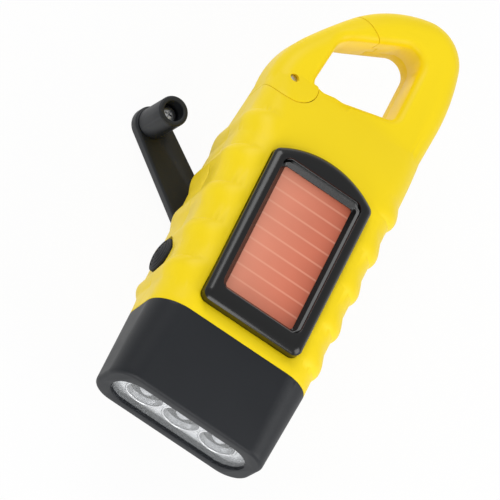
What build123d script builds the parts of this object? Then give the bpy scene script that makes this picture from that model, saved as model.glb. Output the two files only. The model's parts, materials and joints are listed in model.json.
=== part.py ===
"""Hand crank flashlight with a solar panel and a carabiner loop.

Millimetres.  The origin is the centre of the lamp rim's end plane.  +Y runs from the lamp to the
carabiner loop, +Z is the side with the solar panel and +X is to the right of that side.
The crank folds flat behind the case, on the -Z side, with its knob reaching forward beside the case.
"""
import math
import os

from build123d import *

# ---------------------------------------------------------------- driving sizes
# Case, along Y
head_length = 22.0          # black lamp head, rim to seam
hump_start = 37.0           # the back reaches full depth here
hump_end = 73.0             # and leaves it here
loop_root = 99.0            # the tapering case ends inside the loop here
wall = 2.0                  # moulded wall of the case
# Case, across
front_half_width = 24.8     # half width where the side walls would meet the front plane
back_half_width = 20.8
seam_half_front = front_half_width - 0.15      # the same two widths at the seam with the head
seam_half_back = back_half_width + 2.4
rim_half_width = front_half_width - 0.7
rim_half_height = 10.0
rim_radius = 7.0
seam_front = 16.0           # front and back of the case where it meets the head
seam_back = 11.5
case_front = 17.0           # front face that carries the solar panel
case_back = 22.0            # deepest part of the back
rim_draft = 0.3
front_radius = 9.0
back_radius = 10.5
seam_radius = 8.0
cavity_end = 88.0
spigot_length = 4.5
spigot_wall = 1.5
rim_round = 1.2
# Carabiner loop
loop_front = 9.5
loop_back = 5.5
loop_right = front_half_width + 0.4
loop_left = front_half_width - 2.4
loop_top = 135.6
loop_outer_round = 5.0
loop_inner_round = 2.2
hole_bottom = 97.2
hole_right = loop_right - 12.4
hole_left = loop_left - 10.8
hinge_x = 5.5 - loop_left
hinge_y = 97.0
gate_base_radius = 7.3      # knuckle of the gate
gate_reach = 28.2           # hinge to the tip of the gate
gate_gap = 0.2
gate_swing = 20.0
loop_overlap = 11.0         # how far the loop runs down inside the case
loop_lean = 1.1             # its right side leans in by this down there
gate_pin_radius = 1.2
lug_radius = 4.4
lug_bearing = -62.0
lug_z0 = -2.0
lug_z1 = 1.0
latch_depth = 1.5
latch_low = 45.0
latch_high = 64.0
latch_z0 = 0.4
latch_z1 = 3.6
spring_radius = 2.4
spring_wire = 0.25
spring_pitch = 0.95
# Grip ribs
rib_count = 5
rib_first = 31.5
rib_pitch = 11.9
rib_crest = 1.5             # from the middle of a rib to its crest on each side
rib_foot = 4.3              # from the middle to where it meets the case
rib_height = 0.95
rib_sink = 0.35
rib_fade = 0.12             # how far the ribs lie under the front and back faces
rib_corner = 0.5            # how much tighter their corners are than the case's
# Lamp
lamp_width = 41.0
lamp_height = 13.4
lamp_recess = 1.9
lip_thickness = 4.0
head_wall = 2.2
lens_thickness = 1.4
lens_ledge = 0.9
led_pitch = 11.5
cup_mouth_radius = 5.3
cup_throat = 2.7
cup_depth = 5.4
reflector_depth = 6.4
led_radius = 2.5
led_flange_radius = 2.9
led_flange = 1.0
board_thickness = 1.6
# Solar panel
frame_half_width = 15.3
frame_bottom = 25.8
frame_side_top = 72.8
frame_arch = 5.0
frame_height = 4.0
frame_corner = 2.4
frame_round = 1.3
border_width = 1.7
border_step = 0.8
frame_pocket = 1.0
window_half_width = 10.6
window_bottom = 32.3
window_top = 70.6
cell_thickness = 1.2
cell_margin = 1.4
# Crank
crank_y = 55.0
hub_radius = 14.0
hub_gap = 0.4
arm_gap = 3.5               # case back to the face of the arm
arm_thickness = 3.4
arm_reach = 44.0            # hub to knob
arm_angle = 53.7            # from +Y towards -X
arm_root_width = 12.4
arm_tip_width = 9.6
crank_shaft_radius = 3.0
hinge_pin_radius = 1.0
hinge_pin_length = 25.6
bush_radius = 4.4
knob_radius = 4.15
knob_length = 12.7
knob_bore = 2.75
knob_floor = 8.0
knob_screw_radius = 1.25
knob_screw_head = 2.25
# Gear train
drive_module = 0.7
drive_teeth = 32
pinion_teeth = 12
wheel_1_module = 0.6
wheel_1_teeth = 28
wheel_2_module = 0.5
wheel_2_teeth = 24
backlash = 0.14
gear_1_angle = 56.0         # bearing of each wheel from the one before it
gear_2_angle = 158.0
rotor_angle = 226.4
level_a = 2.7               # thickness of each layer of gears
level_b = 2.3
level_c = 2.0
level_gap = 0.4
axle_radius = 1.0
axle_boss = 1.7
plate_half_width = 18.2
plate_bottom = 43.5
plate_head = 81.0
plate_posts = ((-15.4, 46.5), (15.4, 46.5), (-15.0, 78.0), (15.8, 78.0))
plate_thickness = 1.6
plate_clearance = 0.8
# Generator
magnet_radius = 6.5
magnet_height = 6.0
air_gap = 0.6
core_wall = 0.9
generator_radius = 10.2
# Inside the front
charge_board_z = 4.0
charge_board_half_width = 18.0
charge_board_bottom = 43.0
charge_board_top = 78.0
charge_board_posts = ((-15.5, 46.0), (15.5, 46.0), (-15.5, 75.0), (15.5, 75.0))
cell_radius = 7.6
cell_length = 6.0
battery_y = 33.6
battery_z = 4.5
holder_wall = 1.2
contact_thickness = 0.4
# Side switch
switch_y = 40.0
switch_z = -3.9
button_radius = 4.9
button_travel = 1.2
button_proud = 2.6
button_dome = 1.2
stem_radius = 3.0
switch_size = 6.0
switch_depth = 3.8
# Fits
running = 0.05              # radial clearance of a shaft in its hole
seat = 0.1                  # clearance of a piece set in a pocket
# Fasteners
screw_radius = 1.0
screw_head_radius = 2.3
screw_head_height = 1.5
screw_reach = 8.0           # how far the case screws reach into the front shell
screw_seat = -8.0
small_screw = 0.8
small_head = 1.6
boss_radius = 3.4
post_radius = 2.2
case_screw_spots = ((17.0, 30.5), (-17.0, 30.5), (15.5, 86.0), (-15.0, 86.0))

# ---------------------------------------------------------------- levels worked out from them
arm_top = -case_back - arm_gap
arm_bottom = arm_top - arm_thickness
arm_mid = arm_top - arm_thickness / 2
floor_z = -case_back + wall
gear_a0 = floor_z + 0.5
gear_a1 = gear_a0 + level_a
gear_b0 = gear_a1 + level_gap
gear_b1 = gear_b0 + level_b
gear_c0 = gear_b1 + level_gap
gear_c1 = gear_c0 + level_c
plate_z = gear_c1 + plate_clearance
plate_top = plate_z + plate_thickness
magnet_z = plate_top + core_wall + 0.2
generator_top = magnet_z + magnet_height + 0.2 + core_wall
frame_z = case_front - frame_pocket
frame_top = frame_z + frame_height
cell_top = frame_z + cell_thickness
axle_foot = -case_back + 0.9
led_board_y = lamp_recess + lens_thickness + reflector_depth + 0.1 + led_flange
holder_half_length = 1.5 * cell_length + contact_thickness + 0.1 + holder_wall
holder_top = battery_z + cell_radius + 0.4
side_at_switch = back_half_width + (front_half_width - back_half_width) * (
    (switch_z + case_back) / (case_front + case_back)
)
switch_land = -side_at_switch + 0.4       # flat seat cut for the button
switch_inside = -side_at_switch + 3.4     # inner end of the button's guide
stem_length = 3.9
press_room = button_travel + 0.05         # from the stem's end to the switch behind it
switch_board_x = switch_land - seat + stem_length + press_room + switch_depth
switch_board_z = -8.6
spring_z0 = lug_z1 + 0.15 + spring_wire
spring_z1 = spring_z0 + 2.5 * spring_pitch + spring_wire + 0.1
pin_z0 = -loop_back + 0.8
pin_z1 = loop_front - 0.8
deep = 60.0                               # longer than any cut needs


def polar(centre, distance, degrees):
    """A point at a distance and bearing from another."""
    a = math.radians(degrees)
    return (centre[0] + distance * math.cos(a), centre[1] + distance * math.sin(a))


hub_spot = (0.0, crank_y)
stage_a_distance = drive_module * (drive_teeth + pinion_teeth) / 2
stage_b_distance = wheel_1_module * (wheel_1_teeth + pinion_teeth) / 2
stage_c_distance = wheel_2_module * (wheel_2_teeth + pinion_teeth) / 2
gear_1_spot = polar(hub_spot, stage_a_distance, gear_1_angle)
gear_2_spot = polar(gear_1_spot, stage_b_distance, gear_2_angle)
rotor_spot = polar(gear_2_spot, stage_c_distance, rotor_angle)
arm_dir = (-math.sin(math.radians(arm_angle)), math.cos(math.radians(arm_angle)))
arm_turn = 90 + arm_angle                 # bearing of the arm from +X
knob_spot = (arm_reach * arm_dir[0], crank_y + arm_reach * arm_dir[1])


# ---------------------------------------------------------------- small helpers
def rod(spot, radius, z0, z1):
    """A round bar along Z."""
    return Pos(spot[0], spot[1], z0) * Cylinder(
        radius, z1 - z0, align=(Align.CENTER, Align.CENTER, Align.MIN)
    )


def block(x0, x1, y0, y1, z0, z1):
    """A box between two corners."""
    return Pos((x0 + x1) / 2, (y0 + y1) / 2, (z0 + z1) / 2) * Box(x1 - x0, y1 - y0, z1 - z0)


def along_y(shape, y):
    """Stand a solid that was made along +Z so that it runs along +Y from the given plane."""
    return Pos(0, y, 0) * Rot(-90, 0, 0) * shape


def slab(sketch, z0, z1):
    """A flat sketch raised between two heights."""
    return Pos(0, 0, z0) * extrude(sketch, amount=z1 - z0)


def stadium(width, height, y0, y1):
    """A long round-ended block that faces the lamp."""
    outline = SlotOverall(width, height)
    return along_y(extrude(outline, amount=y1 - y0), y0)


def pin_with_head(spot, radius, z0, z1, head_radius, head_height):
    """A screw whose head is at the lower end."""
    return rod(spot, head_radius, z0 - head_height, z0) + rod(spot, radius, z0, z1)


# ---------------------------------------------------------------- case form
def section(y, front, back, half_front, half_back, r_front, r_back, shift=0.0, inset=0.0):
    """One cross-section of the case: a trapezoid with round corners, in a plane across Y."""
    flat = Polygon(
        (-half_front + inset + shift, front - inset),
        (half_front - inset + shift, front - inset),
        (half_back - inset + shift, -back + inset),
        (-half_back + inset + shift, -back + inset),
        align=None,
    )
    flat = fillet(flat.vertices().sort_by(Axis.Y)[2:], r_front - inset)
    flat = fillet(flat.vertices().sort_by(Axis.Y)[:2], r_back - inset)
    return Plane((0, y, 0), x_dir=(1, 0, 0), z_dir=(0, -1, 0)) * flat


def head_section(y, inset=0.0):
    """The lamp head's section at y, on straight walls from the rim to the seam."""
    share = y / head_length

    def between(rim, seam):
        return rim + (seam - rim) * share

    return section(
        y,
        between(rim_half_height, seam_front),
        between(rim_half_height, seam_back),
        between(rim_half_width, seam_half_front),
        between(rim_half_width - rim_draft, seam_half_back),
        between(rim_radius, front_radius),
        between(rim_radius, seam_radius),
        inset=inset,
    )


def head_form(inset, y0, y1):
    """A stretch of the lamp head, set in by a wall."""
    return loft([head_section(y0, inset), head_section(y1, inset)], ruled=True)


def case_sizes(y):
    """Front, back, the two half widths and the two corner radii at y, and the sideways shift."""
    loop_half = (loop_left + loop_right) / 2
    full = (case_front, case_back, front_half_width, back_half_width, front_radius, back_radius)
    if y < hump_start:
        t = (y - head_length) / (hump_start - head_length)
        ease = t * t * (3 - 2 * t)
        start = (seam_front, seam_back, seam_half_front, seam_half_back, front_radius, seam_radius)
        return [a + (b - a) * ease for a, b in zip(start, full)], 0.0
    if y <= hump_end:
        return list(full), 0.0
    t = (y - hump_end) / (loop_root - hump_end)
    sink = t * t * (3 - 2 * t)
    end = (loop_front - 0.2, loop_back - 0.2, loop_half - 0.1, loop_half - 0.5,
           loop_front - 3.5, loop_back - 1.0)
    sizes = [a + (b - a) * sink for a, b in zip(full, end)]
    sizes[0] = case_front + (end[0] - case_front) * t ** 1.6
    return sizes, t * (loop_right - loop_left) / 2


def case_section(y, inset):
    """The case's section at y, set in by a wall."""
    sizes, shift = case_sizes(y)
    return section(y, *sizes, shift, inset)


def case_form(inset=0.0):
    """The case from the seam to the root of the loop: a ramp, a straight middle and a taper."""
    ramp_length = hump_start - head_length
    taper_reach = loop_root - hump_end
    ramp = [case_section(head_length + ramp_length * t, inset) for t in (0.0, 0.3, 0.65, 0.85, 1.0)]
    taper = [case_section(hump_end + taper_reach * t, inset) for t in (0.0, 0.15, 0.4, 0.7, 1.0)]
    middle = Solid.extrude(case_section(hump_start, inset).face(), Vector(0, hump_end - hump_start, 0))
    return loft(ramp).fuse(middle, loft(taper))


def rib_ring(y, left_lift, right_lift):
    """One ring of a rib: the case's section with its side walls lifted, its faces just under the case's."""
    (front, back, half_front, half_back, r_front, r_back), shift = case_sizes(y)
    lift = (left_lift + right_lift) / 2
    return section(
        y, front - rib_fade, back - rib_fade, half_front + lift, half_back + lift,
        r_front - rib_corner, r_back - rib_corner, shift + (right_lift - left_lift) / 2,
    )


def grip_ribs():
    """Ribs that wrap the sides and fade out on the front and back faces.

    The steep foot is towards the loop on the left side and towards the lamp on the right side.
    """
    ribs = []
    for i in range(rib_count):
        y = rib_first + i * rib_pitch
        middle = (rib_height - rib_sink) / 2
        ribs.append(
            loft([
                rib_ring(y - rib_foot, -rib_sink, -rib_sink),
                rib_ring(y - rib_crest, middle, rib_height),
                rib_ring(y + rib_crest, rib_height, middle),
                rib_ring(y + rib_foot, -rib_sink, -rib_sink),
            ])
        )
    return ribs


# ---------------------------------------------------------------- carabiner loop
def loop_outline():
    """The outer edge of the loop seen from the front, a chain of tangent arcs."""
    base_y = loop_root - loop_overlap
    right = Line((loop_right - loop_lean, base_y), (loop_right, loop_top - 27.6))
    shoulder = TangentArc(right @ 1, (loop_right - 1.9, loop_top - 9.1), tangent=right % 1)
    corner = TangentArc(shoulder @ 1, (loop_right - 15.7, loop_top - 0.9), tangent=shoulder % 1)
    crest = TangentArc(corner @ 1, (-loop_left + 12.9, loop_top - 13.0), tangent=corner % 1)
    back = TangentArc(crest @ 1, (-loop_left + 4.1, loop_top - 25.1), tangent=crest % 1)
    left = TangentArc(back @ 1, (-loop_left, loop_top - 41.6), tangent=back % 1)
    down = Line(left @ 1, (-loop_left + 0.1, base_y))
    foot = Line(down @ 1, right @ 0)
    return make_face([right, shoulder, corner, crest, back, left, down, foot])


def hole_outline():
    """The finger hole seen from the front: four sides with round corners."""
    bottom_left = (-hole_left, hole_bottom)
    bottom_right = (hole_right - 0.2, hole_bottom + 6.4)
    top_right = (hole_right, loop_top - 8.6)
    top_left = (-hole_left + 1.8, loop_top - 20.8)
    face = Polygon(bottom_left, bottom_right, top_right, top_left, align=None)
    for spot, radius in ((bottom_left, 3.0), (bottom_right, 2.6), (top_right, 4.5), (top_left, 6.5)):
        corner = face.vertices().sort_by_distance((spot[0], spot[1], 0))[0]
        face = fillet(corner, radius)
    return face


def is_level(edge):
    """True for an edge that lies in one level plane."""
    heights = [edge.position_at(t).Z for t in (0, 0.5, 1)]
    return max(heights) - min(heights) < 0.01


def flat_edges(solid, z):
    """The edges of a solid that lie in one level plane."""
    return [e for e in solid.edges() if is_level(e) and abs(e.position_at(0).Z - z) < 0.01]


def finger_hole():
    """The finger hole as a long solid."""
    return slab(hole_outline(), -deep, deep)


def loop_ring():
    """The loop with its round outer and inner edges."""
    plate = slab(loop_outline(), -loop_back, loop_front)
    foot_y = loop_root - loop_overlap
    outer = [e for e in plate.edges() if is_level(e) and e.center().Y > foot_y + 0.01]
    plate = fillet(outer, loop_outer_round)
    ring = plate - finger_hole()
    hole_wall = slab(hole_outline(), -loop_back, loop_front)
    inner = [e for e in ring.edges() if is_level(e) and hole_wall.distance_to(e.position_at(0.5)) < 0.01]
    return fillet(inner, loop_inner_round)


def gate_zone(grow):
    """The space of the gate seen from the front: a round knuckle and a limb up to the tip."""
    hinge = (hinge_x, hinge_y)
    far = gate_reach * 2
    knuckle = Pos(*hinge) * Circle(gate_base_radius + grow)
    reach = Pos(*hinge) * Circle(gate_reach + grow)
    wedge = Polygon(hinge, polar(hinge, far, 30), polar(hinge, far, 105), polar(hinge, far, 180), align=None)
    return knuckle + (reach & wedge)


def latch_zone(grow):
    """The tongue at the gate's tip, seen from the front; its slot is the same shape grown."""
    hinge = (hinge_x, hinge_y)
    far = gate_reach * 2
    ring = Pos(*hinge) * Circle(gate_reach + latch_depth + grow)
    ring -= Pos(*hinge) * Circle(gate_reach - 0.5)
    spread = math.degrees(grow / gate_reach)
    wedge = Polygon(
        hinge, polar(hinge, far, latch_low), polar(hinge, far, latch_high + spread), align=None
    )
    return ring & wedge


def lug_outline():
    """The tongue of the case that carries the gate's pin."""
    hinge = (hinge_x, hinge_y)
    eye = Pos(*hinge) * Circle(lug_radius)
    half = lug_radius * 0.5
    bridge = Pos(*hinge) * Rot(0, 0, lug_bearing) * Pos(gate_base_radius / 2 + 1, 0) * Rectangle(
        gate_base_radius + 2, 2 * half
    )
    return eye + bridge


def lug_slot():
    """Room in the gate's knuckle for the lug over the gate's swing."""
    hinge = (hinge_x, hinge_y)
    eye = Pos(*hinge) * Circle(lug_radius + gate_gap)
    far = gate_base_radius + 2
    half = 33.0
    sweep_points = [hinge]
    for i in range(4):
        angle = lug_bearing - half + (2 * half + gate_swing) * i / 3
        sweep_points.append(polar(hinge, far, angle))
    return eye + Polygon(*sweep_points, align=None)


# ---------------------------------------------------------------- case shells and gate
def posts(spots, radius, z0, z1):
    """Several round posts of one size."""
    return [rod(s, radius, z0, z1) for s in spots]


def along_switch(shape, x):
    """Stand a solid made along +Z so that it points out of the left side, towards -X."""
    return Pos(x, switch_y, switch_z) * Rot(0, -90, 0) * shape


def disc(radius, length):
    """A cylinder that stands on its own origin."""
    return Cylinder(radius, length, align=(Align.CENTER, Align.CENTER, Align.MIN))


def whole_case():
    """Case, ribs, loop and the collar that enters the lamp head, before the gate and part line are cut."""
    body = case_form().fuse(*grip_ribs()) - finger_hole()
    room = case_form(wall) & block(-deep, deep, head_length + wall, cavity_end, -deep, deep)
    collar = head_form(head_wall + seat, head_length - spigot_length, head_length + wall / 2)
    mouth_low = head_length - spigot_length - 1
    mouth = head_form(head_wall + seat + spigot_wall, mouth_low, head_length + wall + 0.01)
    return (body - room + collar - mouth) + loop_ring()


def switch_well():
    """The round boss inside the left wall that guides the side button."""
    return along_switch(disc(button_radius + 1.6, 10), switch_inside)


def switch_cuts():
    """The button's seat, its travel and the hole for its stem, cut from outside inwards."""
    return [
        along_switch(disc(button_radius + 0.7, 20), switch_land),
        along_switch(disc(button_radius + 0.3, 20), switch_land + button_travel + 0.2),
        along_switch(disc(stem_radius + running, 20), switch_inside + 1),
    ]


def front_details(shell):
    """Pocket for the solar frame, wire hole, bosses and ribs behind the front face."""
    form = case_form(0.4) & block(-deep, deep, 0, deep * 2, 0, deep)
    inner = posts(case_screw_spots, boss_radius, 0, deep)
    inner += posts(charge_board_posts, post_radius, charge_board_z + board_thickness, deep)
    for side in (-1, 1):
        x = side * (holder_half_length - holder_wall / 2)
        inner.append(
            block(x - holder_wall / 2, x + holder_wall / 2, battery_y - 5, battery_y + 5, holder_top, deep)
        )
    inner.append(switch_well())
    shell = shell.fuse(*[p & form for p in inner])
    cuts = [slab(offset(frame_outline(), seat), frame_z, deep)]
    cuts.append(rod((0, window_bottom + 4), 1.5, 0, deep))
    cuts += posts(case_screw_spots, screw_radius + 0.02, -1, screw_reach + 1)
    cuts += posts(charge_board_posts, small_screw + 0.02, 0, charge_board_z + board_thickness + 4)
    return shell.cut(*cuts, *switch_cuts())


def back_details(shell):
    """Screw bosses, gear posts, bearing bosses, the switch's well and its board's rest."""
    form = case_form(0.4) & block(-deep, deep, 0, deep * 2, -deep, 0)
    inner = posts(case_screw_spots, boss_radius, -deep, 0)
    inner += posts(plate_posts, post_radius, -deep, plate_z)
    inner.append(rod(hub_spot, bush_radius + 1.2, -deep, gear_a0 - 0.1))
    inner.append(rod(gear_1_spot, axle_boss, -deep, gear_a0 - 0.1))
    inner.append(rod(gear_2_spot, axle_boss, -deep, gear_b0 - 0.1))
    inner.append(rod(rotor_spot, axle_boss, -deep, gear_c0 - 0.1))
    inner.append(switch_well())
    inner.append(
        block(switch_board_x - 1, switch_board_x + board_thickness + 1, switch_y - 3, switch_y + 3,
              -deep, switch_board_z)
    )
    shell = shell.fuse(*[p & form for p in inner])
    cuts = posts(case_screw_spots, screw_head_radius + 0.3, -deep, screw_seat)
    cuts += posts(case_screw_spots, screw_radius + 0.3, -deep, 1)
    cuts += posts(plate_posts, small_screw + 0.02, plate_z - 5, plate_z + 1)
    cuts.append(rod(hub_spot, bush_radius + 0.02, -deep, 0))
    cuts += [rod(s, axle_radius + 0.02, axle_foot, 0) for s in (gear_1_spot, gear_2_spot)]
    cuts.append(rod(rotor_spot, axle_radius + running, axle_foot, 0))
    return shell.cut(*cuts, *switch_cuts())


def case_and_gate():
    """The two shells and the gate, all cut from one form so that they meet flush."""
    whole = whole_case()
    hinge = (hinge_x, hinge_y)
    knuckle_tall = slab(gate_zone(0), -deep, deep)
    gate = whole & knuckle_tall
    tongue = whole & slab(latch_zone(0), latch_z0, latch_z1)
    gate = gate + tongue
    gate = gate - slab(lug_slot(), lug_z0 - gate_gap, spring_z1 + gate_gap)
    gate = gate - rod(hinge, gate_pin_radius + running, pin_z0 - 0.1, deep)
    shell = whole - slab(gate_zone(gate_gap), -deep, deep)
    shell = shell - slab(latch_zone(gate_gap), latch_z0 - gate_gap, latch_z1 + gate_gap)
    shell = shell + slab(lug_outline(), lug_z0, lug_z1)
    shell = shell - rod(hinge, gate_pin_radius + 0.01, pin_z0, deep)
    front = split(shell, bisect_by=Plane.XY, keep=Keep.TOP)
    back = split(shell, bisect_by=Plane.XY, keep=Keep.BOTTOM)
    return front_details(front), back_details(back), gate


def gate_pin():
    """The pin of the gate, just below the front face."""
    return rod((hinge_x, hinge_y), gate_pin_radius, pin_z0, pin_z1)


def gate_spring():
    """The torsion spring on the gate's pin."""
    turns = 2.5
    coil = Helix(spring_pitch, spring_pitch * turns, spring_radius, center=(hinge_x, hinge_y, spring_z0))
    wire = Plane(origin=coil @ 0, z_dir=coil % 0) * Circle(spring_wire)
    print("gate spring: least gap between turns", round(spring_pitch - 2 * spring_wire, 2), "mm")
    return sweep(wire, path=coil)


# ---------------------------------------------------------------- lamp head
def head_bezel():
    """The black lamp head with its mouth, lens seat and hollow inside."""
    shell = head_form(0, 0, head_length)
    rim = [e for e in shell.edges() if abs(e.position_at(0.5).Y) < 0.01]
    shell = fillet(rim, rim_round)
    inside = head_form(head_wall, lip_thickness, head_length + 1)
    inside -= block(-deep, deep, head_length, deep, -deep, deep)
    mouth = stadium(lamp_width, lamp_height, -1, lip_thickness + 1)
    ledge = 2 * lens_ledge
    lens_seat = stadium(lamp_width + ledge, lamp_height + ledge, lamp_recess, lip_thickness + 1)
    return shell.cut(inside, mouth, lens_seat)


def lens():
    """The clear plate behind the mouth."""
    width = lamp_width + 2 * lens_ledge - 2 * seat
    height = lamp_height + 2 * lens_ledge - 2 * seat
    return stadium(width, height, lamp_recess, lamp_recess + lens_thickness)


def cup_profile(y0):
    """A round cup, cut along Y from its mouth."""
    middle_radius = cup_throat + (cup_mouth_radius - cup_throat) * math.sqrt(0.5)
    mouth = Line((0, 0), (cup_mouth_radius, 0))
    wall_arc = ThreePointArc(mouth @ 1, (middle_radius, cup_depth / 2), (cup_throat, cup_depth))
    end = Line(wall_arc @ 1, (0, cup_depth))
    axis = Line(end @ 1, (0, 0))
    face = Plane.XZ * make_face([mouth, wall_arc, end, axis])
    return along_y(revolve(face, Axis.Z), y0)


def reflector():
    """The plated block with three cups."""
    y0 = lamp_recess + lens_thickness
    y1 = y0 + reflector_depth
    ledge = 2 * (lens_ledge - seat)
    flange = stadium(lamp_width + ledge, lamp_height + ledge, y0, y0 + 1)
    block_body = stadium(lamp_width - 1, lamp_height - 0.6, y0, y1)
    solid = flange + block_body
    for side in (-1, 1):
        x = side * (lamp_width / 2 - 3.4)
        solid += Pos(x, 0, 0) * along_y(disc(1.3, led_board_y - y1 + 1), y1 - 1)
    cuts = []
    for i in (-1, 0, 1):
        cuts.append(Pos(i * led_pitch, 0, 0) * cup_profile(y0))
        cuts.append(Pos(i * led_pitch, 0, 0) * along_y(disc(cup_throat, reflector_depth + 1), y0))
    return solid.cut(*cuts)


def leds():
    """Three round lamps with a flange and a domed front."""
    y_flange = lamp_recess + lens_thickness + reflector_depth + 0.1
    lamps = []
    for i in (-1, 0, 1):
        stem_length = reflector_depth - 2.6
        body = along_y(disc(led_radius, stem_length), y_flange - stem_length)
        dome = Pos(0, y_flange - stem_length, 0) * Sphere(led_radius)
        flange = along_y(disc(led_flange_radius, led_board_y - y_flange), y_flange)
        lamps.append(Pos(i * led_pitch, 0, 0) * (body + dome + flange))
    return lamps


def led_board():
    """The small circuit board behind the lamps."""
    board = stadium(lamp_width - 1, lamp_height - 0.6, led_board_y, led_board_y + board_thickness)
    return board


# ---------------------------------------------------------------- solar panel
def frame_outline():
    """The frame seen from the front: straight sides and an arched top."""
    left = Line((-frame_half_width, frame_side_top), (-frame_half_width, frame_bottom))
    bottom = Line(left @ 1, (frame_half_width, frame_bottom))
    right = Line(bottom @ 1, (frame_half_width, frame_side_top))
    top = ThreePointArc(right @ 1, (0, frame_side_top + frame_arch), left @ 0)
    face = make_face([left, bottom, right, top])
    return fillet(face.vertices(), frame_corner)


def window_outline(grow=0.0):
    """The opening over the cell."""
    width = 2 * (window_half_width + grow)
    height = window_top - window_bottom + 2 * grow
    return Pos(0, (window_top + window_bottom) / 2) * RectangleRounded(width, height, 0.8 + grow)


def solar_frame():
    """The glossy surround: a round rim, a lower inner border and the window."""
    solid = slab(frame_outline(), frame_z, frame_top)
    solid = fillet(flat_edges(solid, frame_top), frame_round)
    border = slab(window_outline(border_width), frame_top - border_step, deep)
    opening = slab(window_outline(), frame_z - 1, deep)
    cell_room = slab(window_outline(cell_margin + seat), frame_z - 1, cell_top)
    solid = solid.cut(border, opening, cell_room)
    edge = flat_edges(solid, frame_top - border_step)
    edge = [e for e in edge if abs(e.center().X) < window_half_width + 0.3]
    edge = [e for e in edge if window_bottom - 0.3 < e.center().Y < window_top + 0.3]
    return chamfer(edge, border_step)


def solar_cell():
    """The panel under the frame."""
    return slab(window_outline(cell_margin), frame_z, cell_top)


# ---------------------------------------------------------------- gears and generator
def gear_outline(module, teeth, phase):
    """An involute gear; phase is the bearing of one tooth, in degrees."""
    pitch_r = module * teeth / 2
    base_r = pitch_r * math.cos(math.radians(20))
    root_r = pitch_r - 1.15 * module
    tip_r = pitch_r + 0.85 * module
    pressure = math.tan(math.radians(20)) - math.radians(20)
    half_tooth = math.pi / (2 * teeth) - backlash / (4 * pitch_r)

    def flank(radius):
        if radius <= base_r:
            return half_tooth + pressure
        angle = math.acos(base_r / radius)
        return half_tooth + pressure - (math.tan(angle) - angle)

    start = max(root_r, base_r)
    radii = [root_r, start + 0.02, (start + tip_r) / 2, tip_r]
    points = []
    for i in range(teeth):
        middle = math.radians(phase) + 2 * math.pi * i / teeth
        left = [(r, middle - flank(r)) for r in radii]
        right = [(r, middle + flank(r)) for r in reversed(radii)]
        points += [(r * math.cos(a), r * math.sin(a)) for r, a in left + right]
    return make_face(Polyline(*points, close=True))


def meshing_phase(teeth_a, phase_a, bearing, teeth_b):
    """The phase that puts gear b's gap where gear a's tooth is, on the line between them."""
    return bearing + 180 - 180 / teeth_b + (bearing - phase_a) * teeth_a / teeth_b


pinion_1_phase = meshing_phase(drive_teeth, 0, gear_1_angle, pinion_teeth)
pinion_2_phase = meshing_phase(wheel_1_teeth, 0, gear_2_angle, pinion_teeth)
rotor_phase = meshing_phase(wheel_2_teeth, 0, rotor_angle, pinion_teeth)


def toothed(spot, module, teeth, phase, z0, z1):
    """A toothed wheel on its centre."""
    return Pos(spot[0], spot[1], z0) * extrude(gear_outline(module, teeth, phase), amount=z1 - z0)


def drive_gear():
    """The large gear on the crank's shaft."""
    wheel = toothed(hub_spot, drive_module, drive_teeth, 0, gear_a0, gear_a1)
    return wheel - rod(hub_spot, crank_shaft_radius + 0.02, gear_a0 - 1, gear_a1 + 1)


def idler(spot, pinion_phase, pinion_module, wheel_module, wheel_teeth, low, step, high):
    """A pinion and a larger wheel on one axle, with a collar up to the plate."""
    lower = toothed(spot, pinion_module, pinion_teeth, pinion_phase, low, step)
    upper = toothed(spot, wheel_module, wheel_teeth, 0, step, high)
    collar = rod(spot, axle_boss, high - 0.2, plate_z - 0.1)
    return (lower + upper + collar) - rod(spot, axle_radius + running, low - 1, plate_z)


def gear_1():
    """First idler: pinion in the drive gear's layer, wheel above it."""
    return idler(gear_1_spot, pinion_1_phase, drive_module, wheel_1_module, wheel_1_teeth,
                 gear_a0, gear_b0, gear_b1)


def gear_2():
    """Second idler."""
    return idler(gear_2_spot, pinion_2_phase, wheel_1_module, wheel_2_module, wheel_2_teeth,
                 gear_b0, gear_c0, gear_c1)


def axles():
    """The two fixed pins that the idlers turn on."""
    return [rod(s, axle_radius, axle_foot + 0.05, plate_top) for s in (gear_1_spot, gear_2_spot)]


def gearbox_plate():
    """The plate over the gears."""
    middle = (plate_bottom + plate_head) / 2
    outline = Pos(0, middle) * RectangleRounded(2 * plate_half_width, plate_head - plate_bottom, 3)
    plate = slab(outline, plate_z, plate_top)
    cuts = [rod(s, axle_radius + 0.02, plate_z - 1, plate_top + 1) for s in (gear_1_spot, gear_2_spot)]
    cuts.append(rod(rotor_spot, axle_radius + running, plate_z - 1, plate_top + 1))
    cuts += posts(plate_posts, small_screw + 0.2, plate_z - 1, plate_top + 1)
    return plate.cut(*cuts)


def plate_screws():
    """Four small screws with their heads on the plate."""
    screws = []
    for s in plate_posts:
        shank = rod(s, small_screw, plate_z - 4.5, plate_top)
        screws.append(shank + rod(s, small_head, plate_top, plate_top + 1.1))
    return screws


def rotor():
    """The generator's shaft with its pinion and the hub inside the magnet."""
    shaft = rod(rotor_spot, axle_radius, gear_c0 - 4, generator_top + 0.8)
    pinion = toothed(rotor_spot, wheel_2_module, pinion_teeth, rotor_phase, gear_c0, gear_c1)
    collar = rod(rotor_spot, axle_boss, gear_c1 - 0.2, plate_z - 0.1)
    magnet_hub = rod(rotor_spot, axle_boss, magnet_z, magnet_z + magnet_height)
    return pinion + shaft + collar + magnet_hub


def rotor_magnet():
    """The ring magnet."""
    ring = rod(rotor_spot, magnet_radius, magnet_z, magnet_z + magnet_height)
    return ring - rod(rotor_spot, axle_boss + 0.02, magnet_z - 1, magnet_z + magnet_height + 1)


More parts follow.
